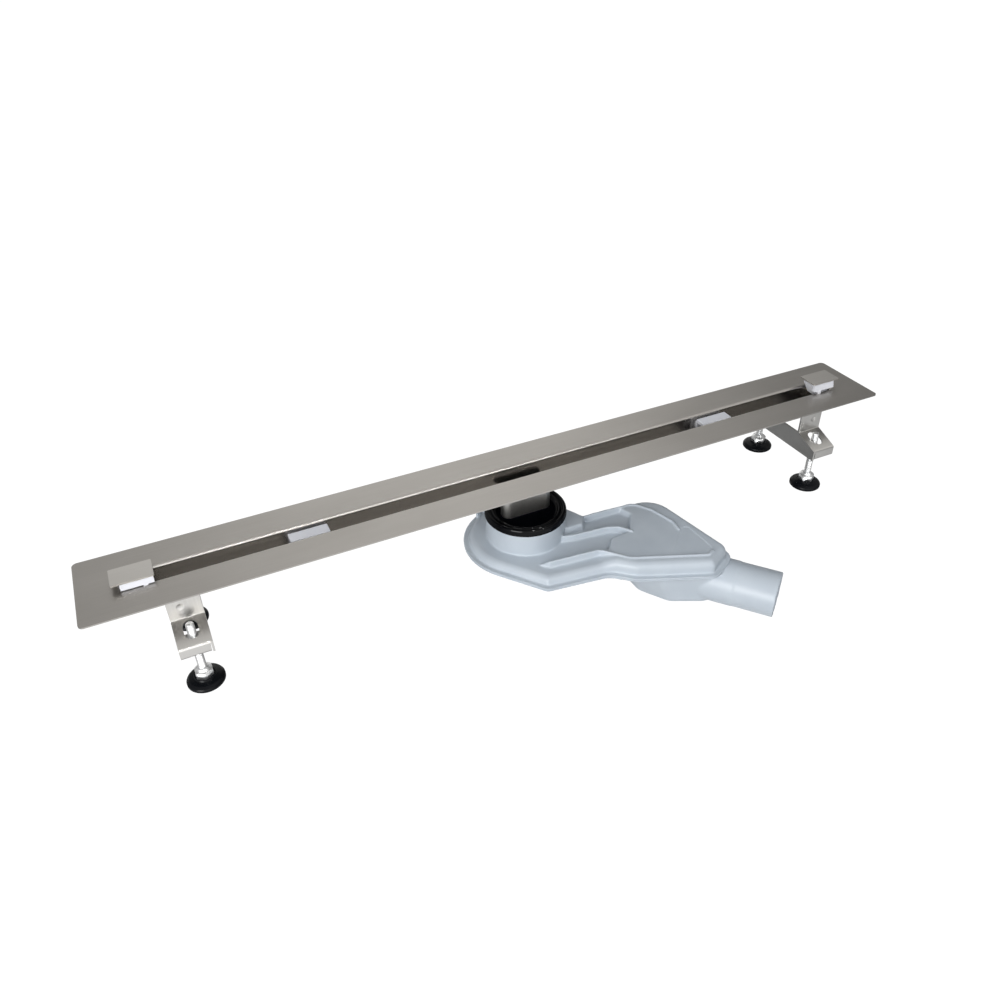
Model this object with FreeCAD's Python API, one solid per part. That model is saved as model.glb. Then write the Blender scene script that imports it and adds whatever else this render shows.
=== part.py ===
import FreeCAD, Part
import math
import os

os.makedirs("parts", exist_ok=True)
V = FreeCAD.Vector

# Linear shower drain: a folded stainless channel on four levelling feet, with a trap hung under it.
# Millimetres. x runs along the channel, y to its back, z up.
# Pieces are drawn round the channel's middle with z = 0 under the feet, and set down at the end.

# flange and trough, one folded sheet
flange_length = 900.0
flange_width = 95.4
flange_top = 105.0
sheet = 1.5
flange_corner_r = 5.0
slot_margin = 39.0
slot_width = 20.8
trough_depth = 21.0
rim_r = 3.4
trough_bend_r = 3.0
trough_end_r = 4.5

# spigot under the trough
spigot_length = 58.0
spigot_width = 17.2
spigot_wall = 1.2
spigot_bottom = 48.0

# rubber ring between spigot and trap
ring_r = 45.2
ring_bottom = 47.0
ring_height = 8.5
ring_sleeve_depth = 10.0
ring_web = 2.6
ring_lip = 2.4

# inlet cup of the trap
cup_r = 44.0
cup_wall = 2.2
fit_gap = 0.4

# trap outline at its welded seam
seam_z = 10.0
seam_lip = 2.0
seam_lip_width = 6.0
seam_r = 70.0
flank_deg = 52.4
trap_back = -6.5
shell_wall = 2.2
deck_z = 20.5
shoulder_r = 8.0
crown_z = 26.4
rise_x = 50.0
rise_y = -78.0
rise_run = 17.0
rise_heading = -24.0
rise_bend_r = 14.0
rib_top = 28.0
rib_half = 1.2
rib_draft = 0.9
rib_crest_r = 0.7
rib_end_run = 11.2
pocket_draft = 3.0
boss_top = 30.0
mark_panel_depth = 0.5
dip_r = 28.0
dip_bottom = -8.0
bowl_bottom = -20.0
bowl_bottom_r = 34.0
sump_bottom = -38.5
sump_edge_r = 9.0
weir_top = 8.0
weir_x = 112.0

# outlet pipe of the lower shell
pipe_r = 25.0
pipe_wall = 2.0
pipe_z = -13.5
pipe_end_x = 211.9
pipe_end_y = -182.1
pipe_deg = 50.4
pipe_length = 80.0
pipe_free = 45.0
pipe_root_r = 25.5
pipe_relief = 0.3

# levelling feet and their brackets
foot_inset = 85.8
foot_y = 46.0
pad_r = 18.2
pad_rim = 3.0
pad_height = 8.5
collar_flats = 16.0
collar_height = 7.0
collar_cone = 3.0
stud_r = 3.9
stud_top = 73.5
back_right_rise = 4.0
nut_flats = 13.0
nut_height = 6.5
thread_gap = 0.35
bracket_width = 30.5
bracket_sheet = 2.0
bracket_bottom = 48.0
bracket_top = 71.5
shelf_low = 60.5
riser_y = 34.0
lip_y = 63.5
bracket_bend_r = 3.0
tab_length = 14.0
hole_width = 13.5
hole_length = 20.0
dimple_r = 9.0
dimple_out = 3.5

# clips in the slot ends and the small plates on them
plate_length = 37.8
plate_width = 24.8
plate_thickness = 1.5
plate_top = 7.8
right_plate_rise = 4.8
plate_overrun = 8.0
holder_length = 29.2
holder_foot_width = 29.2
holder_top_width = 23.4
holder_wall = 2.2
holder_shift = 3.2
holder_window = 4.0
holder_foot_length = 4.0
holder_foot_share = 0.2
back_wing_recess = 13.0
wing_gap = 0.9
core_gap = 3.7
core_end_gap = 1.0
core_slant = 10.0
holder_tongue_depth = 12.0

# white blocks that keep the slot open
spacer_length = 39.4
spacer_width = 13.4
spacer_drop = 3.4
spacer_left_inset = 174.5
spacer_right_inset = 165.0
spacer_leg = 1.3

side_gap = 0.3


def rounded(points, inset, z):
    # closed outline through corner points (x, y, radius), counterclockwise, drawn in by inset
    n = len(points)
    lines = []
    for i in range(n):
        a = points[i]
        b = points[(i + 1) % n]
        length = math.hypot(b[0] - a[0], b[1] - a[1])
        ux = (b[0] - a[0]) / length
        uy = (b[1] - a[1]) / length
        lines.append((a[0] - uy * inset, a[1] + ux * inset, ux, uy))
    corners = []
    for i in range(n):
        p = lines[i - 1]
        q = lines[i]
        turn = p[2] * q[3] - p[3] * q[2]
        s = ((q[0] - p[0]) * q[3] - (q[1] - p[1]) * q[2]) / turn
        r = points[i][2]
        if turn > 0:
            r = max(r - inset, 0.5)
        else:
            r = max(r + inset, 0.5)
        corners.append((p[0] + s * p[2], p[1] + s * p[3], r, turn))
    edges = []
    first = None
    last = None
    for i in range(n):
        x, y, r, turn = corners[i]
        p = lines[i - 1]
        q = lines[i]
        angle = math.asin(max(-1.0, min(1.0, turn)))
        if p[2] * q[2] + p[3] * q[3] < 0:
            angle = math.copysign(math.pi - abs(angle), turn)
        t = r * math.tan(abs(angle) / 2)
        start = V(x - t * p[2], y - t * p[3], z)
        end = V(x + t * q[2], y + t * q[3], z)
        side = math.copysign(1.0, turn)
        centre = V(start.x - side * r * p[3], start.y + side * r * p[2], z)
        middle = V(x, y, z) - centre
        middle.normalize()
        if first is None:
            first = start
        if last is not None and last.distanceToPoint(start) > 1e-4:
            edges.append(Part.makeLine(last, start))
        edges.append(Part.Arc(start, centre + middle * r, end).toShape())
        last = end
    if last.distanceToPoint(first) > 1e-4:
        edges.append(Part.makeLine(last, first))
    return Part.Wire(edges)


def prism(points, inset, low, high):
    return Part.Face(rounded(points, inset, low)).extrude(V(0, 0, high - low))


def taper(points, low_inset, low, high_inset, high):
    return Part.makeLoft([rounded(points, low_inset, low), rounded(points, high_inset, high)], True, True)


def box(x0, x1, y0, y1, z0, z1):
    return Part.makeBox(x1 - x0, y1 - y0, z1 - z0, V(x0, y0, z0))


def rod(radius, low, high):
    return Part.makeCylinder(radius, high - low, V(0, 0, low))


def slab(length, width, radius, low, high, middle=0.0):
    # upright block with rounded corners, centred on the x axis at middle
    a = length / 2
    b = width / 2
    corners = []
    for x, y in ((-a, -b), (a, -b), (a, b), (-a, b)):
        corners.append((middle + x, y, radius))
    return prism(corners, 0, low, high)


def turned(profile):
    # closed profile of (radius, z) points turned about the z axis
    points = [V(r, 0, z) for r, z in profile]
    face = Part.Face(Part.makePolygon(points + points[:1]))
    return face.revolve(V(0, 0, 0), V(0, 0, 1), 360)


def edges_at(shape, z, tolerance=0.01):
    found = []
    for edge in shape.Edges:
        bound = edge.BoundBox
        if abs(bound.ZMin - z) < tolerance and abs(bound.ZMax - z) < tolerance:
            found.append(edge)
    return found


def hexagon(flats, low, high):
    points = []
    for k in range(7):
        a = math.radians(60 * k + 30)
        points.append(V(flats / math.sqrt(3) * math.cos(a), flats / math.sqrt(3) * math.sin(a), low))
    return Part.Face(Part.makePolygon(points)).extrude(V(0, 0, high - low))


def folded(points, thickness, x0, x1, bend):
    # strip of sheet along (y, z) points, its thickness on the left hand of the path, bends rounded
    n = len(points)
    rails = []
    for i in range(n - 1):
        dy = points[i + 1][0] - points[i][0]
        dz = points[i + 1][1] - points[i][1]
        length = math.hypot(dy, dz)
        rails.append((dy / length, dz / length))
    inner = []
    for i in range(n):
        a = rails[max(i - 1, 0)]
        b = rails[min(i, n - 2)]
        ny = -(a[1] + b[1])
        nz = a[0] + b[0]
        k = thickness / ((ny * -a[1] + nz * a[0]))
        inner.append((points[i][0] + ny * k, points[i][1] + nz * k))
    loop = [V(x0, y, z) for y, z in points] + [V(x0, y, z) for y, z in reversed(inner)]
    body = Part.Face(Part.makePolygon(loop + loop[:1])).extrude(V(x1 - x0, 0, 0))
    for i in range(1, n - 1):
        cross = rails[i - 1][0] * rails[i][1] - rails[i - 1][1] * rails[i][0]
        outer_point = points[i] if cross > 0 else inner[i]
        inner_point = inner[i] if cross > 0 else points[i]
        for point, radius in ((outer_point, bend), (inner_point, bend - thickness)):
            for edge in body.Edges:
                off = math.hypot(edge.CenterOfMass.y - point[0], edge.CenterOfMass.z - point[1])
                if edge.BoundBox.XLength > abs(x1 - x0) - 0.01 and off < 0.01:
                    body = body.makeFillet(radius, [edge])
                    break
    return body


# lengths and heights that follow from the sizes
slot_length = flange_length - 2 * slot_margin
foot_x = flange_length / 2 - foot_inset
spacer_left_x = spacer_left_inset - slot_length / 2
spacer_right_x = slot_length / 2 - spacer_right_inset
flange_under = flange_top - sheet
trough_floor = flange_top - trough_depth
trough_under = trough_floor - sheet
trough_half = slot_width / 2 + sheet
ring_top = ring_bottom + ring_height
cup_bore = cup_r - cup_wall
cup_top = ring_bottom - fit_gap

# the finished part is centred in plan on x = 0, y = 0 and stands on z = 0
front_reach = pipe_r * math.cos(math.radians(pipe_deg)) - pipe_end_y
channel_y = (front_reach - seam_r) / 2
feet_z = max(-sump_bottom, pipe_r - pipe_z)

# channel tray
plate_corners = [
    (-flange_length / 2, -flange_width / 2, flange_corner_r),
    (flange_length / 2, -flange_width / 2, flange_corner_r),
    (flange_length / 2, flange_width / 2, flange_corner_r),
    (-flange_length / 2, flange_width / 2, flange_corner_r),
]
tray = prism(plate_corners, 0, flange_under, flange_top)
trough_length = slot_length + 2 * sheet
trough = slab(trough_length, 2 * trough_half, trough_end_r + sheet, trough_under, flange_under)
tray = tray.fuse(trough).removeSplitter()
bend_line = []
for edge in edges_at(tray, flange_under):
    bound = edge.BoundBox
    if abs(bound.YMin) < trough_half + 0.1 and abs(bound.YMax) < trough_half + 0.1:
        bend_line.append(edge)
tray = tray.makeFillet(rim_r - sheet, bend_line)
tray = tray.makeFillet(trough_bend_r, edges_at(tray, trough_under))
hollow = slab(slot_length, slot_width, trough_end_r, trough_floor, flange_top + 1)
hollow = hollow.makeFillet(trough_bend_r - sheet, edges_at(hollow, trough_floor))
tray = tray.cut(hollow)
rim = []
for edge in edges_at(tray, flange_top):
    bound = edge.BoundBox
    if abs(bound.YMin) < slot_width / 2 + 0.1 and abs(bound.YMax) < slot_width / 2 + 0.1:
        rim.append(edge)
tray = tray.makeFillet(rim_r, rim)
spigot_bore_length = spigot_length - 2 * spigot_wall
spigot_bore_width = spigot_width - 2 * spigot_wall
bore_end_r = spigot_bore_width / 2 - 0.01
outlet_hole = slab(spigot_bore_length, spigot_bore_width, bore_end_r, trough_under - 1, trough_floor + 1)
tray = tray.cut(outlet_hole)

# outlet spigot, an obround tube under the trough floor
spigot = slab(spigot_length, spigot_width, spigot_width / 2 - 0.01, spigot_bottom, trough_under)
spigot_bore = slab(spigot_bore_length, spigot_bore_width, bore_end_r, spigot_bottom - 1, trough_under + 1)
spigot = spigot.cut(spigot_bore)

# sealing ring, a moulded rubber cover with a sleeve in the cup
sleeve_r = cup_bore - fit_gap
web_z = ring_top - 4.0
seal = turned([
    (0.0, web_z - ring_web),
    (sleeve_r - 3.0, web_z - ring_web),
    (sleeve_r - 3.0, ring_bottom - ring_sleeve_depth),
    (sleeve_r - 0.8, ring_bottom - ring_sleeve_depth),
    (sleeve_r, ring_bottom - ring_sleeve_depth + 1.5),
    (sleeve_r, ring_bottom),
    (ring_r, ring_bottom),
    (ring_r + 0.3, ring_bottom + 1.6),
    (ring_r - 0.2, ring_top - 2.2),
    (ring_r - 1.2, ring_top - 0.6),
    (ring_r - 2.6, ring_top),
    (ring_r - 4.0, ring_top - 0.8),
    (ring_r - 4.8, web_z + 0.9),
    (ring_r - 6.0, web_z + 0.6),
    (ring_r - 6.9, ring_top - 1.6),
    (ring_r - 8.0, ring_top - 1.0),
    (ring_r - 9.2, ring_top - 1.6),
    (ring_r - 10.4, web_z + 0.3),
    (ring_r - 12.0, web_z),
    (0.0, web_z),
])
seal = seal.fuse(
    slab(
        spigot_length + 2 * ring_lip,
        spigot_width + 2 * ring_lip,
        spigot_width / 2 + ring_lip - 0.01,
        web_z - ring_web - 2.0,
        ring_top + 0.8,
    )
)
seal = seal.cut(slab(spigot_length, spigot_width, spigot_width / 2 - 0.01, 0, flange_top)).removeSplitter()

# trap outline
flank = math.radians(flank_deg)
flank_x = math.sin(flank)
flank_y = math.cos(flank)
front_y = -99.0
front_x = 51.0
front_slope = -0.127
heel_x = -(seam_r + flank_y * (front_y - front_slope * front_x)) / (flank_x + flank_y * front_slope)
heel_y = front_y + front_slope * (heel_x - front_x)
seam = [
    (seam_r, trap_back, -trap_back),
    (seam_r, seam_r, seam_r),
    (-seam_r, seam_r, seam_r),
    (-seam_r, -(seam_r - flank_x * seam_r) / flank_y, seam_r),
    (heel_x, heel_y, 10.0),
    (front_x, front_y, 22.0),
    (73.0, -118.0, 22.0),
    (152.0, -152.0, 12.0),
    (189.0, -131.0, 18.0),
    (165.5, trap_back, 38.0),
]
front_rib = [
    (-12.3, -58.5, 0.8),
    (-4.5, -67.0, 4.0),
    (52.5, -72.6, 10.0),
    (76.0, -98.9, 20.0),
    (153.7, -131.5, 5.0),
    (161.5, -127.5, 0.8),
]
middle_rib = [
    (18.0, -32.0, 0.8),
    (41.0, -38.0, 14.0),
    (80.0, -42.0, 14.0),
    (93.0, -47.5, 10.0),
    (102.5, -60.5, 0.8),
]
back_rib = [
    (60.0, -12.8, 0.8),
    (130.0, -17.0, 16.0),
    (143.5, -37.0, 16.0),
    (152.0, -66.0, 10.0),
    (150.0, -81.0, 0.8),
]
boss = [
    (36.0, -27.0, 2.0),
    (58.0, -27.0, 2.0),
    (66.0, -15.0, 2.0),
    (55.0, 6.0, 3.0),
    (36.0, 8.0, 2.0),
]
pocket = [
    (24.0, -65.0, 2.0),
    (52.0, -69.0, 6.0),
    (64.0, -76.0, 6.0),
    (76.0, -61.0, 4.5),
    (101.0, -58.0, 3.0),
    (119.0, -32.0, 3.0),
    (113.0, -15.0, 4.5),
    (56.0, -12.5, 2.0),
]
mark_panel = [
    (117.5, -116.0, 1.0),
    (152.5, -129.0, 3.0),
    (164.5, -124.0, 5.0),
    (163.0, -77.0, 6.0),
    (152.5, -79.5, 2.0),
]


def ribbon(path, half):
    # closed outline of a strip of even width along corner points (x, y, radius)
    n = len(path)
    ways = []
    for i in range(n - 1):
        dx = path[i + 1][0] - path[i][0]
        dy = path[i + 1][1] - path[i][1]
        length = math.hypot(dx, dy)
        ways.append((dx / length, dy / length))
    near = []
    far = []
    for i in range(n):
        a = ways[max(i - 1, 0)]
        b = ways[min(i, n - 2)]
        k = half / (1 + a[0] * b[0] + a[1] * b[1])
        x, y, r = path[i]
        turn = math.copysign(half, a[0] * b[1] - a[1] * b[0]) if 0 < i < n - 1 else 0.0
        near.append((x + k * (a[1] + b[1]), y - k * (a[0] + b[0]), r + turn))
        far.append((x - k * (a[1] + b[1]), y + k * (a[0] + b[0]), r - turn))
    return near + far[::-1]


def above_slope(x, y, heading, run, low, high, bend_r):
    # all that lies over a surface level at low, rising over run along heading, then level at high
    lead = V(math.cos(math.radians(heading)), math.sin(math.radians(heading)), 0)
    across = V(-lead.y, lead.x, 0)
    reach = 4 * seam_r
    corner = V(x, y, 0) - across * reach
    profile = [(-reach, low), (0, low), (run, high), (reach, high), (reach, high + reach), (-reach, high + reach)]
    points = [corner + lead * u + V(0, 0, z) for u, z in profile]
    body = Part.Face(Part.makePolygon(points + points[:1])).extrude(across * 2 * reach)
    bends = []
    for edge in body.Edges:
        u = (edge.CenterOfMass - corner).dot(lead)
        if abs(edge.CenterOfMass.z - low) < 0.01 and abs(u) < 0.01:
            bends.append(edge)
        if abs(edge.CenterOfMass.z - high) < 0.01 and abs(u - run) < 0.01:
            bends.append(edge)
    return body.makeFillet(bend_r, bends)


# upper shell of the trap
seam_top = seam_z + seam_lip
upper = prism(seam, 0, seam_z, seam_top)
# level round the cup, then one smooth rise to the crown, with a rounded shoulder all round
slope = above_slope(rise_x, rise_y, rise_heading, rise_run, deck_z, crown_z, rise_bend_r)
pillow = prism(seam, seam_lip_width, seam_z, crown_z + shoulder_r).cut(slope)
shoulder = []
for edge in pillow.Edges:
    middle = edge.valueAt((edge.FirstParameter + edge.LastParameter) / 2)
    beside = []
    for face in pillow.ancestorsOfType(edge, Part.Face):
        beside.append(abs(face.normalAt(*face.Surface.parameter(middle)).z))
    if middle.z > seam_top and min(beside) < 0.1 < max(beside):
        shoulder.append(edge)
pillow = pillow.makeFillet(shoulder_r, shoulder)
upper = upper.fuse(pillow)
upper = upper.cut(taper(pocket, pocket_draft, deck_z, 0, crown_z))
upper = upper.cut(prism(pocket, 0, crown_z, crown_z + shoulder_r))
upper = upper.cut(taper(mark_panel, 0.4, crown_z - mark_panel_depth, 0, crown_z))
for path in (front_rib, middle_rib, back_rib):
    rib = taper(ribbon(path, rib_half), -rib_draft, deck_z - 1, 0, rib_top)
    rib = rib.makeFillet(rib_crest_r, edges_at(rib, rib_top))
    if path is front_rib:
        heading = math.degrees(math.atan2(path[1][1] - path[0][1], path[1][0] - path[0][0]))
        rib = rib.cut(above_slope(path[0][0], path[0][1], heading, rib_end_run, deck_z, rib_top, 2.0))
    upper = upper.fuse(rib)
raised = taper(boss, -2.5, seam_z + 0.5, 0, boss_top)
upper = upper.fuse(raised.makeFillet(1.5, edges_at(raised, boss_top)))
upper = upper.fuse(rod(cup_r, deck_z - 1, cup_top))
# loop beside the cup
loop = box(seam_r - 9, seam_r - 6, -9, 9, seam_top - 1, seam_top + 12)
loop = loop.cut(Part.makeCylinder(5.2, 9, V(seam_r - 12, 0, seam_top + 3.2), V(1, 0, 0)))
loop.rotate(V(0, 0, 0), V(0, 0, 1), 118)
upper = upper.fuse(loop)
# hollow inside, with the dip tube and the way through from the cup
ceiling = deck_z - shell_wall
cavity = prism(seam, seam_lip_width + shell_wall, seam_z - 1, ceiling)
cavity = cavity.makeFillet(shoulder_r - shell_wall, edges_at(cavity, ceiling))
vault = taper(
    [
        (124.0, -109.0, 6.0),
        (149.0, -120.0, 8.0),
        (160.0, -114.0, 8.0),
        (146.0, -30.0, 14.0),
        (126.0, -32.0, 6.0),
    ],
    -pocket_draft,
    ceiling - 1,
    0,
    crown_z - mark_panel_depth - shell_wall,
)
cavity = cavity.fuse(vault)
cavity = cavity.cut(rod(dip_r, seam_z - 2, ceiling + 1))
upper = upper.cut(cavity)
upper = upper.fuse(rod(dip_r, dip_bottom, ceiling + 0.5))
upper = upper.cut(rod(cup_bore, deck_z, cup_top + 1))
upper = upper.cut(rod(dip_r - shell_wall, dip_bottom - 1, deck_z + 1)).removeSplitter()

# lower shell of the trap
sump = [
    (70.0, trap_back, 12.0),
    (70.0, -98.0, 22.0),
    (92.0, -126.2, 22.0),
    (152.0, -152.0, 16.0),
    (185.0, -131.0, 16.0),
    (164.0, trap_back, 24.0),
]
sump_low = [
    (98.0, -18.0, 12.0),
    (98.0, -88.0, 22.0),
    (119.0, -121.0, 22.0),
    (157.0, -140.5, 14.0),
    (175.0, -127.0, 14.0),
    (157.0, -18.0, 16.0),
]


def sump_body(shrink, low):
    top_wire = rounded(sump, seam_lip_width + 1 + shrink, seam_z)
    low_wire = rounded(sump_low, shrink, low)
    body = Part.makeLoft([low_wire, top_wire], True, True)
    return body.makeFillet(sump_edge_r - shrink, edges_at(body, low))


def bowl_body(shrink, low):
    rim_radius = seam_r - seam_lip_width - 2 - shrink
    cone = Part.makeCone(bowl_bottom_r - shrink, rim_radius, seam_z - low, V(0, 0, low))
    throat = prism(seam, seam_lip_width + 2 + shrink, seam_z - 9 + shrink, seam_z)
    return cone.fuse(throat)


pipe_dir = V(math.cos(math.radians(pipe_deg)), -math.sin(math.radians(pipe_deg)), 0)
pipe_end = V(pipe_end_x, pipe_end_y, pipe_z)
pipe_start = pipe_end - pipe_dir * pipe_length
lower = prism(seam, 0, seam_z - seam_lip, seam_z)
outer_sump = sump_body(0, sump_bottom)
lower = lower.fuse(outer_sump).fuse(bowl_body(0, bowl_bottom))
outlet = Part.makeCylinder(pipe_root_r, pipe_length - pipe_free, pipe_start, pipe_dir)
root_low = pipe_relief - feet_z
outlet = outlet.cut(box(-flange_length, flange_length, -flange_length, flange_length, -2 * feet_z, root_low))
outlet = outlet.fuse(Part.makeCylinder(pipe_r, pipe_free, pipe_end - pipe_dir * pipe_free, pipe_dir))
under_lid = prism(seam, 0, seam_z, crown_z)
outlet = outlet.cut(under_lid)
lower = lower.fuse(outlet)
inner_sump = sump_body(shell_wall, sump_bottom + shell_wall)
weir = box(weir_x, weir_x + shell_wall, -200, 50, sump_bottom - 1, weir_top)
bore = Part.makeCylinder(pipe_r - pipe_wall, pipe_length + 1, pipe_start, pipe_dir)
hollow = inner_sump.fuse(bowl_body(shell_wall, bowl_bottom + shell_wall)).cut(weir).fuse(bore)
lower = lower.cut(hollow)
lower = lower.removeSplitter()

# bracket for one end, mirrored for the other
bracket_in = foot_x - bracket_width / 2
bracket_out = foot_x + bracket_width / 2


def bracket_arm(side):
    # tab under the flange, riser, sloping shelf, lip and the turned-in foot plate
    path = [
        (-riser_y + tab_length, flange_under),
        (-riser_y, flange_under),
        (-riser_y, bracket_top),
        (-lip_y, shelf_low),
        (-lip_y, bracket_bottom),
        (-riser_y + 2, bracket_bottom),
    ]
    arm = folded(path, bracket_sheet, bracket_in, bracket_out, bracket_bend_r)
    relief_x = bracket_in + bracket_sheet + 0.8
    relief = box(bracket_in - 1, relief_x, -lip_y - 2, -riser_y + 3, bracket_bottom - 1, shelf_low - 2.5)
    arm = arm.cut(relief)
    slope = math.degrees(math.atan2(bracket_top - shelf_low, lip_y - riser_y))
    hole = slab(hole_length, hole_width, hole_width / 2 - 0.01, -8, 8)
    hole.rotate(V(0, 0, 0), V(0, 0, 1), 90)
    hole.rotate(V(0, 0, 0), V(1, 0, 0), slope)
    shelf_fall = (bracket_top - shelf_low) / (lip_y - riser_y)
    shelf_z = bracket_top - (foot_y - riser_y) * shelf_fall - bracket_sheet / 2
    hole.translate(V(foot_x, -foot_y, shelf_z))
    arm = arm.cut(hole)
    drill = rod(stud_r + thread_gap, bracket_bottom - bracket_sheet, bracket_bottom + 2 * bracket_sheet)
    drill.translate(V(foot_x, -foot_y, 0))
    arm = arm.cut(drill)
    dimple_z = (flange_under + bracket_top) / 2 - 2
    dimple = Part.makeSphere(dimple_r, V(foot_x + dimple_out, -riser_y - dimple_r + 0.7, dimple_z))
    arm = arm.cut(dimple)
    if side > 0:
        arm = arm.mirror(V(0, 0, 0), V(0, 1, 0))
    return arm


web = [
    V(bracket_in, -lip_y, bracket_bottom),
    V(bracket_in, lip_y, bracket_bottom),
    V(bracket_in, lip_y, shelf_low),
    V(bracket_in, riser_y, bracket_top),
    V(bracket_in, -riser_y, bracket_top),
    V(bracket_in, -lip_y, shelf_low),
]
bracket = Part.Face(Part.makePolygon(web + web[:1])).extrude(V(bracket_sheet, 0, 0))
bracket = bracket.fuse(bracket_arm(-1)).fuse(bracket_arm(1)).removeSplitter()

# levelling foot: zinc stud with a hexagon collar, black pad, nut on the foot plate
collar_top = pad_height + collar_height
stud = hexagon(collar_flats, pad_height, collar_top)
collar_crest_r = 0.9 * collar_flats / math.sqrt(3)
chamfer_rise = 3.0 * collar_flats
chamfer_low = V(0, 0, collar_top - chamfer_rise)
stud = stud.common(Part.makeCone(collar_crest_r + chamfer_rise, collar_crest_r, chamfer_rise, chamfer_low))
stud = stud.fuse(Part.makeCone(collar_flats / 2 - 1.2, stud_r + 0.6, collar_cone, V(0, 0, collar_top)))
stud = stud.fuse(rod(stud_r, collar_top, stud_top - 1.0))
stud = stud.fuse(Part.makeCone(stud_r, stud_r - 1.0, 1.0, V(0, 0, stud_top - 1.0)))
stud = stud.fuse(rod(4.6, pad_height - 5.0, pad_height)).removeSplitter()
pad = turned([
    (0.0, 0.0),
    (pad_r - 0.8, 0.0),
    (pad_r, 0.9),
    (pad_r, pad_rim),
    (pad_r - 0.7, pad_rim + 1.2),
    (pad_r - 3.0, pad_rim + 2.9),
    (pad_r - 7.6, pad_height - 1.2),
    (pad_r - 8.4, pad_height),
    (4.75, pad_height),
    (4.75, pad_height - 5.2),
    (0.0, pad_height - 5.2),
])
nut = hexagon(nut_flats, bracket_bottom + bracket_sheet, bracket_bottom + bracket_sheet + nut_height)
nut = nut.cut(rod(stud_r + thread_gap, 0, flange_top))

# end holder in white plastic and the plate on it, drawn for the right end
plate_middle = slot_length / 2 + plate_overrun - plate_length / 2
plate_under = flange_top + plate_top - plate_thickness
holder_low = plate_middle - holder_length / 2 - holder_shift
holder_high = holder_low + holder_length
core_half = slot_width / 2 - core_gap
core_high = slot_length / 2 - core_end_gap


def holder_with(rise):
    # two wings on the flange under the plate, joined over the slot, and a core with a slanting end in it
    top = plate_under + rise
    low = flange_top - holder_tongue_depth + rise
    corners = [
        V(holder_low, -holder_foot_width / 2, flange_top),
        V(holder_low, holder_foot_width / 2, flange_top),
        V(holder_low, holder_top_width / 2, top),
        V(holder_low, -holder_top_width / 2, top),
    ]
    block = Part.Face(Part.makePolygon(corners + corners[:1])).extrude(V(holder_length, 0, 0))
    inner = holder_top_width / 2 - holder_wall
    block = block.cut(box(holder_low - 1, holder_high + 1, -inner, inner, 0, top - holder_wall))
    block = block.cut(box(holder_low - 1, holder_low + holder_window, -inner, inner, 0, top + 1))
    wing_low = flange_top + wing_gap * (1 + rise / 2)
    block = block.cut(box(holder_low - 1, holder_low + back_wing_recess, inner - 0.1, 30, 0, top + 1))
    for side, start in ((-1, holder_low), (1, holder_low + back_wing_recess)):
        foot = start + holder_length * holder_foot_share
        for x0, x1 in ((holder_low - 1, foot), (foot + holder_foot_length, holder_high + 1)):
            block = block.cut(box(x0, x1, min(0, 30 * side), max(0, 30 * side), 0, wing_low))
    core = box(holder_low, core_high, -core_half, core_half, low, top - holder_wall + 0.5)
    slant = Part.makePolygon([
        V(holder_low, -30, top - holder_wall),
        V(holder_low, -30, low - 1),
        V(holder_low + core_slant, -30, low - 1),
        V(holder_low, -30, top - holder_wall),
    ])
    core = core.cut(Part.Face(slant).extrude(V(0, 60, 0)))
    return block.fuse(core).removeSplitter()


end_plate = slab(plate_length, plate_width, 1.2, plate_under, plate_under + plate_thickness, plate_middle)

# slot spacer: block on two spring legs that touch the trough walls
spacer_top = flange_top - spacer_drop
leg_y = slot_width / 2 - 0.05
spacer = slab(spacer_length, spacer_width, 0.8, trough_floor, spacer_top)
spacer = spacer.makeFillet(0.6, edges_at(spacer, spacer_top))
spacer_core = spacer_width / 2 - 2.2
spacer = spacer.cut(
    box(-spacer_length, spacer_length, -spacer_core, spacer_core, trough_floor - 1, spacer_top - 4.0)
)
leg_x = spacer_length / 2 - 2
leg_low = trough_floor + 2.5
for side in (-1, 1):
    leg = box(-leg_x, leg_x, leg_y - spacer_leg, leg_y, leg_low, spacer_top - 5.0)
    bridge = box(-leg_x, leg_x, spacer_width / 2 - 1, leg_y, leg_low, leg_low + 1.5)
    leg = leg.fuse(bridge)
    if side < 0:
        leg = leg.mirror(V(0, 0, 0), V(0, 1, 0))
    spacer = spacer.fuse(leg)
spacer = spacer.removeSplitter()


def placed(shape, x=0.0, y=0.0, rise=0.0):
    copy = shape.copy()
    copy.translate(V(x, channel_y + y, feet_z + rise))
    return copy


def flipped(shape):
    return shape.mirror(V(0, 0, 0), V(1, 0, 0))


pieces = {
    "channel_tray": placed(tray),
    "outlet_spigot": placed(spigot),
    "seal_ring": placed(seal),
    "trap_upper_shell": placed(upper),
    "trap_lower_shell": placed(lower),
    "bracket_right": placed(bracket),
    "bracket_left": placed(flipped(bracket)),
    "end_holder_right": placed(holder_with(right_plate_rise)),
    "end_holder_left": placed(flipped(holder_with(0.0))),
    "end_plate_right": placed(end_plate, 0.0, 0.0, right_plate_rise),
    "end_plate_left": placed(flipped(end_plate)),
    "slot_spacer_left": placed(spacer, spacer_left_x),
    "slot_spacer_right": placed(spacer, spacer_right_x),
}
for name, sx, sy, rise in (
    ("front_left", -1, -1, 0.0),
    ("front_right", 1, -1, 0.0),
    ("back_left", -1, 1, 0.0),
    ("back_right", 1, 1, back_right_rise),
):
    pieces["foot_stud_" + name] = placed(stud, sx * foot_x, sy * foot_y, rise)
    pieces["foot_pad_" + name] = placed(pad, sx * foot_x, sy * foot_y, rise)
    pieces["foot_nut_" + name] = placed(nut, sx * foot_x, sy * foot_y)

for name, shape in pieces.items():
    if not shape.isValid():
        print("not valid:", name)
    if len(shape.Solids) != 1:
        print("solids:", name, len(shape.Solids))
    shape.exportStep("parts/" + name + ".step")
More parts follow.
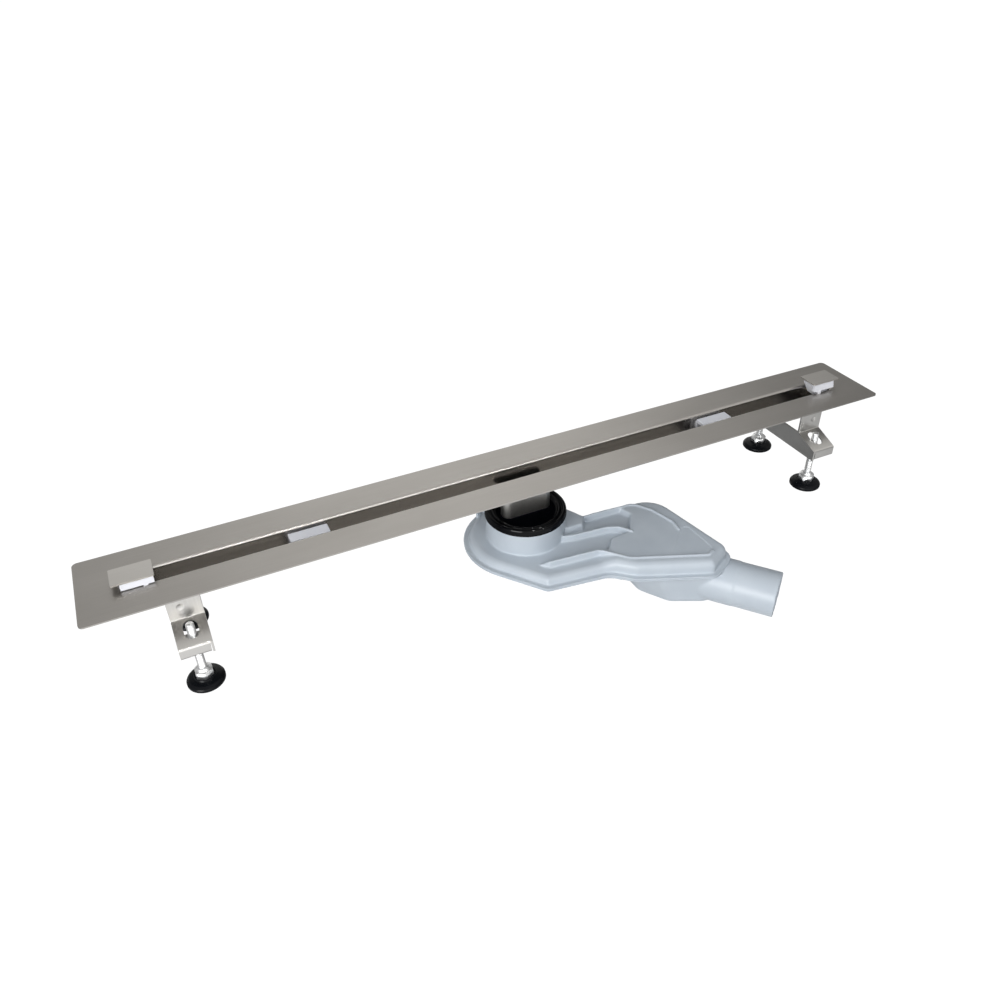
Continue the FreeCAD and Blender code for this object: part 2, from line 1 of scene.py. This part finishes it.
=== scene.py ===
import math

import bpy
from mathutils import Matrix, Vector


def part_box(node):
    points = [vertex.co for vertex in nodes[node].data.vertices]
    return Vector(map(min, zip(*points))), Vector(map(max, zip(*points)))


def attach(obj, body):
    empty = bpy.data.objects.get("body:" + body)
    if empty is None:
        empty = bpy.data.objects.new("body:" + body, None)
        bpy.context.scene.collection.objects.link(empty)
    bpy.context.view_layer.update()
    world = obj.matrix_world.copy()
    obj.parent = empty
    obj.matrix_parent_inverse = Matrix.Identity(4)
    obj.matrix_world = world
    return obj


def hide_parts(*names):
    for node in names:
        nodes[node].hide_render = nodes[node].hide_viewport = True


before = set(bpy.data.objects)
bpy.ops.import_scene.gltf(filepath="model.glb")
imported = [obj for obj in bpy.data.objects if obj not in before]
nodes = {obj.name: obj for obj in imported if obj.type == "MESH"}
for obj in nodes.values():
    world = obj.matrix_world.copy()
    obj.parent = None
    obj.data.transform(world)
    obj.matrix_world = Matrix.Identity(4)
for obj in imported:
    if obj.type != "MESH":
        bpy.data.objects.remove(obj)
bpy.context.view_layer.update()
bpy.ops.object.select_all(action="DESELECT")


# Channel tray: one sheet of stainless steel, folded into a flange and a narrow trough and welded at the ends.
# Its skin is the mill finish of cold rolled sheet, with fine lines along the channel and soft clouding.

class Signal:
    """A shader socket that can be added, multiplied and so on like a number."""

    def __init__(self, finish, socket):
        self.finish = finish
        self.socket = socket

    def sum(self, operation, other, swapped=False):
        pair = (other, self) if swapped else (self, other)
        return self.finish.node("ShaderNodeMath", {"operation": operation}, {0: pair[0], 1: pair[1]})

    def __add__(self, other):
        return self.sum("ADD", other)

    def __sub__(self, other):
        return self.sum("SUBTRACT", other)

    def __rsub__(self, other):
        return self.sum("SUBTRACT", other, True)

    def __mul__(self, other):
        return self.sum("MULTIPLY", other)

    __radd__ = __add__
    __rmul__ = __mul__


class Finish:
    """One material, built up round its Principled shader."""

    def __init__(self, name, sockets):
        self.material = bpy.data.materials.new(name)
        self.material.use_nodes = True
        self.tree = self.material.node_tree
        self.shader = self.tree.nodes["Principled BSDF"]
        for socket, value in sockets.items():
            self.shader.inputs[socket].default_value = value

    def node(self, kind, settings, sockets, output=0):
        made = self.tree.nodes.new(kind)
        for name, value in settings.items():
            if name == "stops":
                ramp = made.color_ramp
                ramp.elements[0].position, ramp.elements[0].color = value[0]
                ramp.elements[1].position, ramp.elements[1].color = value[-1]
                for position, colour in value[1:-1]:
                    ramp.elements.new(position).color = colour
            else:
                setattr(made, name, value)
        for name, value in sockets.items():
            if isinstance(value, Signal):
                self.tree.links.new(value.socket, made.inputs[name])
            else:
                made.inputs[name].default_value = value
        return None if output is None else Signal(self, made.outputs[output])

    def noise(self, scale, detail=3.0, roughness=0.5):
        """Noise from 0 to 1, with its scale given along x, y and z in features per metre."""
        place = self.node("ShaderNodeTexCoord", {}, {}, "Object")
        stretched = self.node("ShaderNodeMapping", {}, {"Vector": place, "Scale": scale})
        sockets = {"Vector": stretched, "Scale": 1.0, "Detail": detail, "Roughness": roughness}
        return self.node("ShaderNodeTexNoise", {}, sockets, "Fac")

    def ramp(self, signal, low, high):
        """0 below low, 1 above high."""
        sockets = {"Value": signal, "From Min": low, "From Max": high}
        return self.node("ShaderNodeMapRange", {"clamp": True}, sockets)

    def mixed(self, share, first, second):
        return self.node("ShaderNodeMix", {"data_type": "RGBA"}, {0: share, 6: first, 7: second}, 2)

    def feed(self, **wires):
        for name, wire in wires.items():
            self.tree.links.new(wire.socket, self.shader.inputs[name.replace("_", " ")])

    def bump(self, height, strength, distance):
        sockets = {"Height": height, "Strength": strength, "Distance": distance}
        self.feed(Normal=self.node("ShaderNodeBump", {}, sockets))


line_depth = 0.0002
# inside the slot, below the flange's top, the sheet is painted lighter with this colour, a painted
# reflection, and made smoother
slot_reflection_colour = (0.5, 0.485, 0.465, 1.0)
slot_smoother = 0.14
slot_reflection_blend = 0.0015


def steel(name, light, dark, rough, along=(9.0, 1400.0, 1400.0), painted_reflection_below=None):
    """Sheet steel with fine rolling lines in one direction, clouding and a few dull spots.

    Below the height given by the last argument its colour is painted lighter, a painted reflection, and it is
    smoother.
    """
    finish = Finish(name, {"Metallic": 1.0, "Roughness": rough})
    lines = finish.noise(along, 4.0, 0.6)
    clouds = finish.noise((7.0, 16.0, 16.0), 3.0, 0.55)
    spots = finish.ramp(finish.noise((160.0, 160.0, 160.0), 2.0, 0.5), 0.62, 0.8)
    share = finish.ramp(lines * 0.45 + clouds * 0.55, 0.3, 0.7)
    colour = finish.mixed(share, dark, light)
    roughness = rough - 0.05 + lines * 0.08 + clouds * 0.05 + spots * 0.04
    # below the given height the colour turns lighter, a painted reflection, and the roughness drops
    if painted_reflection_below:
        place = finish.node("ShaderNodeTexCoord", {}, {}, "Object")
        height = finish.node("ShaderNodeSeparateXYZ", {}, {0: place}, "Z")
        reflection_share = 1 - finish.ramp(height, painted_reflection_below - slot_reflection_blend, painted_reflection_below)
        colour = finish.mixed(reflection_share, colour, slot_reflection_colour)
        roughness = roughness - reflection_share * slot_smoother
    finish.feed(Base_Color=colour, Roughness=roughness)
    finish.bump(lines, 0.12, line_depth)
    return finish.material


def dress(material, *names):
    """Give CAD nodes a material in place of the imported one."""
    for name in names:
        mesh = nodes[name].data
        mesh.materials.clear()
        mesh.materials.append(material)


tray_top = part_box("channel_tray")[1].z
slot_reflection_depth = 0.001
channel_light = (0.47, 0.455, 0.435, 1.0)
channel_dark = (0.39, 0.375, 0.355, 1.0)
# the inside of the slot is painted lighter than the flange, a painted reflection, and is smoother
channel_steel = steel("channel_steel", channel_light, channel_dark, 0.33, painted_reflection_below=tray_top - slot_reflection_depth)
dress(channel_steel, "channel_tray")


# Outlet spigot: a short obround tube of the same steel, welded under the outlet hole of the trough.
# It is pressed and left bright, with its lines upright.

upright_lines = (900.0, 900.0, 12.0)
spigot_light = (0.66, 0.65, 0.63, 1.0)
spigot_dark = (0.54, 0.53, 0.51, 1.0)
spigot_steel = steel("spigot_steel", spigot_light, spigot_dark, 0.34, upright_lines)
dress(spigot_steel, "outlet_spigot")


# End plates and their holders: small steel plates on white moulded clips, pushed into both ends of the slot.
# They keep the sides of the slot apart until the tiles are laid.

plate_steel = steel("plate_steel", (0.66, 0.645, 0.62, 1.0), (0.58, 0.565, 0.54, 1.0), 0.36)
dress(plate_steel, "end_plate_left", "end_plate_right")


grain_depth = 0.0002
polish_blend = 0.002


def moulded(name, light, dark, rough, grain, shine=0.5, middle=None, polished_from=0.0):
    """Moulded plastic with a faint skin texture and soft unevenness.

    Further from the point middle than polished_from it has the gloss of a polished tool.
    """
    finish = Finish(name, {"Roughness": rough, "Coat Roughness": 0.08, "Specular IOR Level": shine})
    if middle:
        place = finish.node("ShaderNodeTexCoord", {}, {}, "Object")
        far = finish.node("ShaderNodeVectorMath", {"operation": "DISTANCE"}, {0: place, 1: middle}, "Value")
        polished = finish.ramp(far, polished_from, polished_from + polish_blend)
        finish.feed(Coat_Weight=polished * 0.3)
    clouds = finish.noise((28.0, 28.0, 28.0), 3.0, 0.5)
    skin = finish.noise((grain, grain, grain), 3.0, 0.6)
    finish.feed(Base_Color=finish.mixed(finish.ramp(clouds, 0.3, 0.7), dark, light))
    finish.feed(Roughness=rough - 0.04 + clouds * 0.05 + skin * 0.04)
    finish.bump(skin, 0.08, grain_depth)
    return finish.material


clip_light = (0.8, 0.81, 0.85, 1.0)
clip_dark = (0.72, 0.73, 0.78, 1.0)
white_moulding = moulded("white_moulding", clip_light, clip_dark, 0.38, 1500.0)
dress(white_moulding, "end_holder_left", "end_holder_right")


# Slot spacers: two white moulded blocks on spring legs, pinched between the walls of the trough.

dress(white_moulding, "slot_spacer_left", "slot_spacer_right")


# Seal ring: a soft black rubber cover over the trap's cup, with an obround mouth that grips the spigot.
# Its rim shines, from a polished tool, and its web is dull. The mouth lies flat in the web round the spigot.

ring_middle_y = 0.064018
ring_middle = (0.0, ring_middle_y, 0.0925)
rim_inside_r = 0.033
rubber_light = (0.002, 0.0025, 0.0035, 1.0)
rubber_dark = (0.001, 0.0012, 0.002, 1.0)
rubber = moulded("rubber", rubber_light, rubber_dark, 0.1, 700.0, 0.0, ring_middle, rim_inside_r)
mouth_half_length = 0.0322
mouth_half_width = 0.0117
web_level = 0.0902
merge_reach = 0.00002


def own_copy(node, name):
    """A copy of a CAD node with its loose triangles merged, selected alone."""
    bpy.ops.object.select_all(action="DESELECT")
    piece = bpy.data.objects.new(name, nodes[node].data.copy())
    bpy.context.collection.objects.link(piece)
    bpy.context.view_layer.objects.active = piece
    piece.select_set(True)
    bpy.ops.object.mode_set(mode="EDIT")
    bpy.ops.mesh.select_all(action="SELECT")
    bpy.ops.mesh.remove_doubles(threshold=merge_reach)
    bpy.ops.object.mode_set(mode="OBJECT")
    return piece


def soften(piece, voxel, passes, share, spots=()):
    """Round every edge as a moulding has it, and more in the spots, each given as x, y, z and reach."""
    remesh = piece.modifiers.new("remesh", "REMESH")
    remesh.mode = "VOXEL"
    remesh.voxel_size = voxel
    smooth = piece.modifiers.new("smooth", "SMOOTH")
    smooth.factor = 0.5
    smooth.iterations = passes
    for modifier in list(piece.modifiers):
        bpy.ops.object.modifier_apply(modifier=modifier.name)
    if spots:
        soft = piece.vertex_groups.new(name="soft")
        for point in piece.data.vertices:
            for x, y, z, reach in spots:
                far = math.dist(point.co, (x, y, z)) / reach
                if far < 1:
                    soft.add([point.index], min(1.0, 2 - 2 * far), "REPLACE")
        local = piece.modifiers.new("local", "SMOOTH")
        local.factor = 0.5
        local.iterations = 16
        local.vertex_group = "soft"
        bpy.ops.object.modifier_apply(modifier="local")
    thin = piece.modifiers.new("thin", "DECIMATE")
    thin.ratio = share
    bpy.ops.object.modifier_apply(modifier="thin")
    bpy.ops.object.shade_smooth()


def finish_piece(piece, material, body, node):
    """Give a piece its material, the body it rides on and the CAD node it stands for."""
    piece.data.materials.clear()
    piece.data.materials.append(material)
    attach(piece, body)
    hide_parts(node)
    print(piece.name, "faces", len(piece.data.polygons))


ring = own_copy("seal_ring", "cup_cover")
for point in ring.data.vertices:
    beside_x = abs(point.co.x) < mouth_half_length
    beside_y = abs(point.co.y - ring_middle_y) < mouth_half_width
    if beside_x and beside_y and point.co.z > web_level:
        point.co.z = web_level
soften(ring, 0.0006, 5, 0.5)
finish_piece(ring, rubber, "channel", "seal_ring")


# Trap: two pale grey shells of moulded polypropylene, welded together along a flat lip.
# The upper one has the inlet cup, ridges and a raised chamber, the lower one the bowl, sump and outlet pipe.

trap_light = (0.54, 0.595, 0.65, 1.0)
trap_dark = (0.49, 0.545, 0.605, 1.0)
trap_plastic = moulded("trap_plastic", trap_light, trap_dark, 0.38, 900.0)
spot_reach = 0.012
boss_spots = (
    (0.058, 0.037, 0.0685, spot_reach),
    (0.066, 0.049, 0.0685, spot_reach),
    (0.036, 0.037, 0.0685, spot_reach),
)
pocket_spots = ((0.119, 0.032, 0.063, spot_reach), (0.113, 0.049, 0.063, spot_reach))
nose_spots = ((0.187, -0.066, 0.062, spot_reach),)

upper_shell = own_copy("trap_upper_shell", "upper_shell")
soften(upper_shell, 0.00085, 3, 0.42, boss_spots + pocket_spots + nose_spots)
finish_piece(upper_shell, trap_plastic, "trap", "trap_upper_shell")
lower_shell = own_copy("trap_lower_shell", "lower_shell")
soften(lower_shell, 0.0011, 4, 0.6)
finish_piece(lower_shell, trap_plastic, "trap", "trap_lower_shell")


# Brackets: folded from 2 mm stainless sheet and spot welded under the flange, one near each end.

bracket_lines = (1200.0, 12.0, 12.0)
bracket_light = (0.7, 0.69, 0.67, 1.0)
bracket_dark = (0.6, 0.59, 0.57, 1.0)
bracket_steel = steel("bracket_steel", bracket_light, bracket_dark, 0.28, bracket_lines)
dress(bracket_steel, "bracket_left", "bracket_right")


# Levelling feet: zinc plated steel studs with a hexagon collar, turned in a nut on the bracket's foot plate,
# each standing in a black moulded pad.

zinc_grain = (400.0, 400.0, 900.0)
zinc_light = (0.86, 0.87, 0.88, 1.0)
zinc_dark = (0.72, 0.73, 0.74, 1.0)
zinc = steel("zinc", zinc_light, zinc_dark, 0.4, zinc_grain)
pad_light = (0.004, 0.005, 0.007, 1.0)
pad_dark = (0.002, 0.0025, 0.004, 1.0)
pad_black = moulded("pad_black", pad_light, pad_dark, 0.28, 1200.0, 0.14)
corners = ("front_left", "front_right", "back_left", "back_right")
for corner in corners:
    dress(zinc, "foot_nut_" + corner)
    dress(pad_black, "foot_pad_" + corner)

pitch = 0.00125
root_r = 0.0034
collar_share = 0.015
tip_chamfer = 0.0012
stud_low, stud_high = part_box("foot_stud_front_left")
thread_run = stud_high.z - stud_low.z - collar_share

# one turn of the thread, drawn as a point that stands out from the root, and screwed up the stud
bpy.ops.object.select_all(action="DESELECT")
quarter = math.radians(90)
upright = (quarter, 0, 0)
bpy.ops.mesh.primitive_circle_add(vertices=4, radius=pitch / 2, rotation=upright, location=(root_r, 0, 0))
thread = bpy.context.active_object
bpy.ops.object.transform_apply(location=True, rotation=True, scale=True)
bpy.ops.object.mode_set(mode="EDIT")
bpy.ops.mesh.select_all(action="DESELECT")
bpy.ops.object.mode_set(mode="OBJECT")
for point in thread.data.vertices:
    point.select = point.co.x < root_r - pitch / 4
bpy.ops.object.mode_set(mode="EDIT")
bpy.ops.mesh.delete(type="VERT")
bpy.ops.object.mode_set(mode="OBJECT")
turn = thread.modifiers.new("turn", "SCREW")
turn.axis = "Z"
turn.screw_offset = pitch
turn.iterations = round(thread_run / pitch)
turn.steps = 24
turn.render_steps = 24
turn.use_merge_vertices = True
turn.merge_threshold = 0.00001
bpy.ops.object.modifier_apply(modifier="turn")
highest = max(point.co.z for point in thread.data.vertices)
for point in thread.data.vertices:
    # the thread runs out at both ends and is chamfered at the tip
    room = min(point.co.z + pitch / 2, highest - point.co.z)
    limit = root_r + max(0.0, min(1.0, room / tip_chamfer - 0.3)) * pitch / 2
    reach = math.hypot(point.co.x, point.co.y)
    if reach > limit:
        point.co.x *= limit / reach
        point.co.y *= limit / reach
bpy.ops.mesh.primitive_cylinder_add(vertices=24, radius=root_r + 0.00004, depth=thread_run + 0.002)
core = bpy.context.active_object
core.location.z = (thread_run - 0.002) / 2
bpy.ops.object.transform_apply(location=True, rotation=True, scale=True)
chamfer = core.modifiers.new("chamfer", "BEVEL")
chamfer.width = 0.0004
chamfer.segments = 2
bpy.ops.object.modifier_apply(modifier="chamfer")
thread.select_set(True)
bpy.context.view_layer.objects.active = thread
bpy.ops.object.join()

for corner in corners:
    node = "foot_stud_" + corner
    low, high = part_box(node)
    collar = own_copy(node, "stud_" + corner)
    bpy.ops.object.mode_set(mode="EDIT")
    bpy.ops.mesh.select_all(action="SELECT")
    cut = (0.0, 0.0, low.z + collar_share)
    bpy.ops.mesh.bisect(plane_co=cut, plane_no=(0.0, 0.0, 1.0), clear_outer=True, use_fill=True)
    bpy.ops.object.mode_set(mode="OBJECT")
    bpy.ops.object.select_all(action="DESELECT")
    rod = bpy.data.objects.new("thread_" + corner, thread.data.copy())
    bpy.context.collection.objects.link(rod)
    rod.location = ((low.x + high.x) / 2, (low.y + high.y) / 2, low.z + collar_share)
    rod.select_set(True)
    bpy.context.view_layer.objects.active = rod
    bpy.ops.object.transform_apply(location=True, rotation=True, scale=True)
    collar.select_set(True)
    bpy.context.view_layer.objects.active = collar
    bpy.ops.object.join()
    bpy.ops.object.shade_smooth_by_angle(angle=math.radians(35))
    finish_piece(collar, zinc, "foot_" + corner, node)
bpy.data.objects.remove(thread)


# Studio: a pale floor that shows as white, a surround with lighter and darker parts for the steel to mirror,
# two soft lamps and two small ones, and the camera where the photographer stood.

bpy.ops.mesh.primitive_plane_add(size=14.0, location=(0.0, 2.0, 0.0))
floor = bpy.context.active_object
floor.name = "floor"
bpy.ops.object.transform_apply(location=True, rotation=True, scale=True)
paper = Finish("white_paper", {"Base Color": (0.52, 0.52, 0.52, 1.0), "Roughness": 0.9})
glow = paper.node("ShaderNodeEmission", {}, {"Color": (1.0, 1.0, 1.0, 1.0), "Strength": 1.16})
camera_sees = paper.node("ShaderNodeLightPath", {}, {}, "Is Camera Ray")
metal_shows = paper.node("ShaderNodeLightPath", {}, {}, "Is Glossy Ray")
lit_paper = Signal(paper, paper.shader.outputs[0])
here = paper.node("ShaderNodeTexCoord", {}, {}, "Object")
in_front = 1 - paper.ramp(paper.node("ShaderNodeSeparateXYZ", {}, {0: here}, "Y"), -0.14, 0.06)
to_left = 1 - paper.ramp(paper.node("ShaderNodeSeparateXYZ", {}, {0: here}, "X"), 0.2, 0.7)
shown = camera_sees * 0.88 + metal_shows * in_front * to_left * 0.9
both = paper.node("ShaderNodeMixShader", {}, {0: shown, 1: lit_paper, 2: glow})
paper.tree.links.new(both.socket, paper.tree.nodes["Material Output"].inputs["Surface"])
floor.data.materials.append(paper.material)


class Surround(Finish):
    """The world, built up in the same way."""

    def __init__(self, world):
        world.use_nodes = True
        self.tree = world.node_tree
        self.tree.nodes.clear()


bpy.context.scene.world = bpy.data.worlds.new("studio")
studio = Surround(bpy.context.scene.world)
way = studio.node("ShaderNodeTexCoord", {}, {}, "Generated")
sideways = studio.node("ShaderNodeSeparateXYZ", {}, {0: way}, "X")
away = studio.node("ShaderNodeSeparateXYZ", {}, {0: way}, "Y")
up = studio.node("ShaderNodeSeparateXYZ", {}, {0: way}, "Z")
sky_strength = 4.0


def spread(levels):
    """A row of grey levels from the left of the studio to its right."""
    stops = []
    for place, level in levels:
        level /= sky_strength
        stops.append((place, (level, level * 0.985, level * 0.96, 1.0)))
    return studio.node("ShaderNodeValToRGB", {"stops": stops}, {0: studio.ramp(sideways, -1.0, 1.0)}, "Color")


behind = spread(
    ((0.0, 0.3), (0.35, 0.4), (0.46, 0.6), (0.57, 0.93), (0.7, 1.02), (0.76, 0.7), (0.81, 0.2), (1.0, 0.2))
)
front = spread(((0.0, 0.6), (0.3, 1.4), (0.42, 2.8), (0.56, 2.8), (0.68, 1.0), (0.78, 0.3), (1.0, 0.15)))
zenith = spread(((0.0, 0.6), (0.4, 0.75), (0.7, 0.9), (1.0, 0.5)))
front = studio.mixed(studio.ramp(up, 0.12, 0.5), front, zenith)
skyline = spread(((0.0, 1.2), (0.5, 2.2), (0.7, 2.2), (0.85, 1.2), (1.0, 0.6)))
behind = studio.mixed(studio.ramp(up, 0.04, 0.16), skyline, behind)
mirrored = studio.mixed(studio.ramp(away, 0.0, 0.45), front, behind)
soft = [level / sky_strength for level in (0.22, 0.23, 0.24, sky_strength)]
white = [1.0 / sky_strength] * 3 + [1.0]
rays = {}
for kind in ("Is Camera Ray", "Is Glossy Ray"):
    rays[kind] = studio.node("ShaderNodeLightPath", {}, {}, kind)
colour = studio.mixed(rays["Is Glossy Ray"], soft, mirrored)
colour = studio.mixed(rays["Is Camera Ray"], colour, white)
sky = studio.node("ShaderNodeBackground", {}, {"Color": colour, "Strength": sky_strength})
studio.node("ShaderNodeOutputWorld", {}, {"Surface": sky}, None)

for name, place, size, power, shows in (
    ("front_left", (-2.2, -1.8, 0.9), 1.4, 62.0, True),
    ("overhead", (-0.2, -0.3, 2.4), 1.1, 7.0, False),
    ("left_lamp", (-0.12, -1.8, 1.72), 0.1, 7.0, True),
    ("right_lamp", (0.82, -1.75, 1.57), 0.1, 6.0, True),
):
    bpy.ops.object.light_add(type="AREA", location=place)
    lamp = bpy.context.active_object
    lamp.name = name
    lamp.data.shape = "SQUARE"
    lamp.data.size = size
    lamp.data.energy = power
    lamp.visible_glossy = shows
    lamp.rotation_euler = (-lamp.location).to_track_quat("-Z", "Y").to_euler()

bpy.ops.object.camera_add(location=(-0.342428, -0.619370, 0.654482))
camera = bpy.context.active_object
camera.rotation_euler = [math.radians(a) for a in (54.16387, 1.05961, -25.29270)]
camera.data.lens = 30.972
camera.data.sensor_width = 36.0
camera.data.clip_start = 0.01
bpy.context.scene.camera = camera
bpy.context.scene.view_settings.view_transform = "Standard"
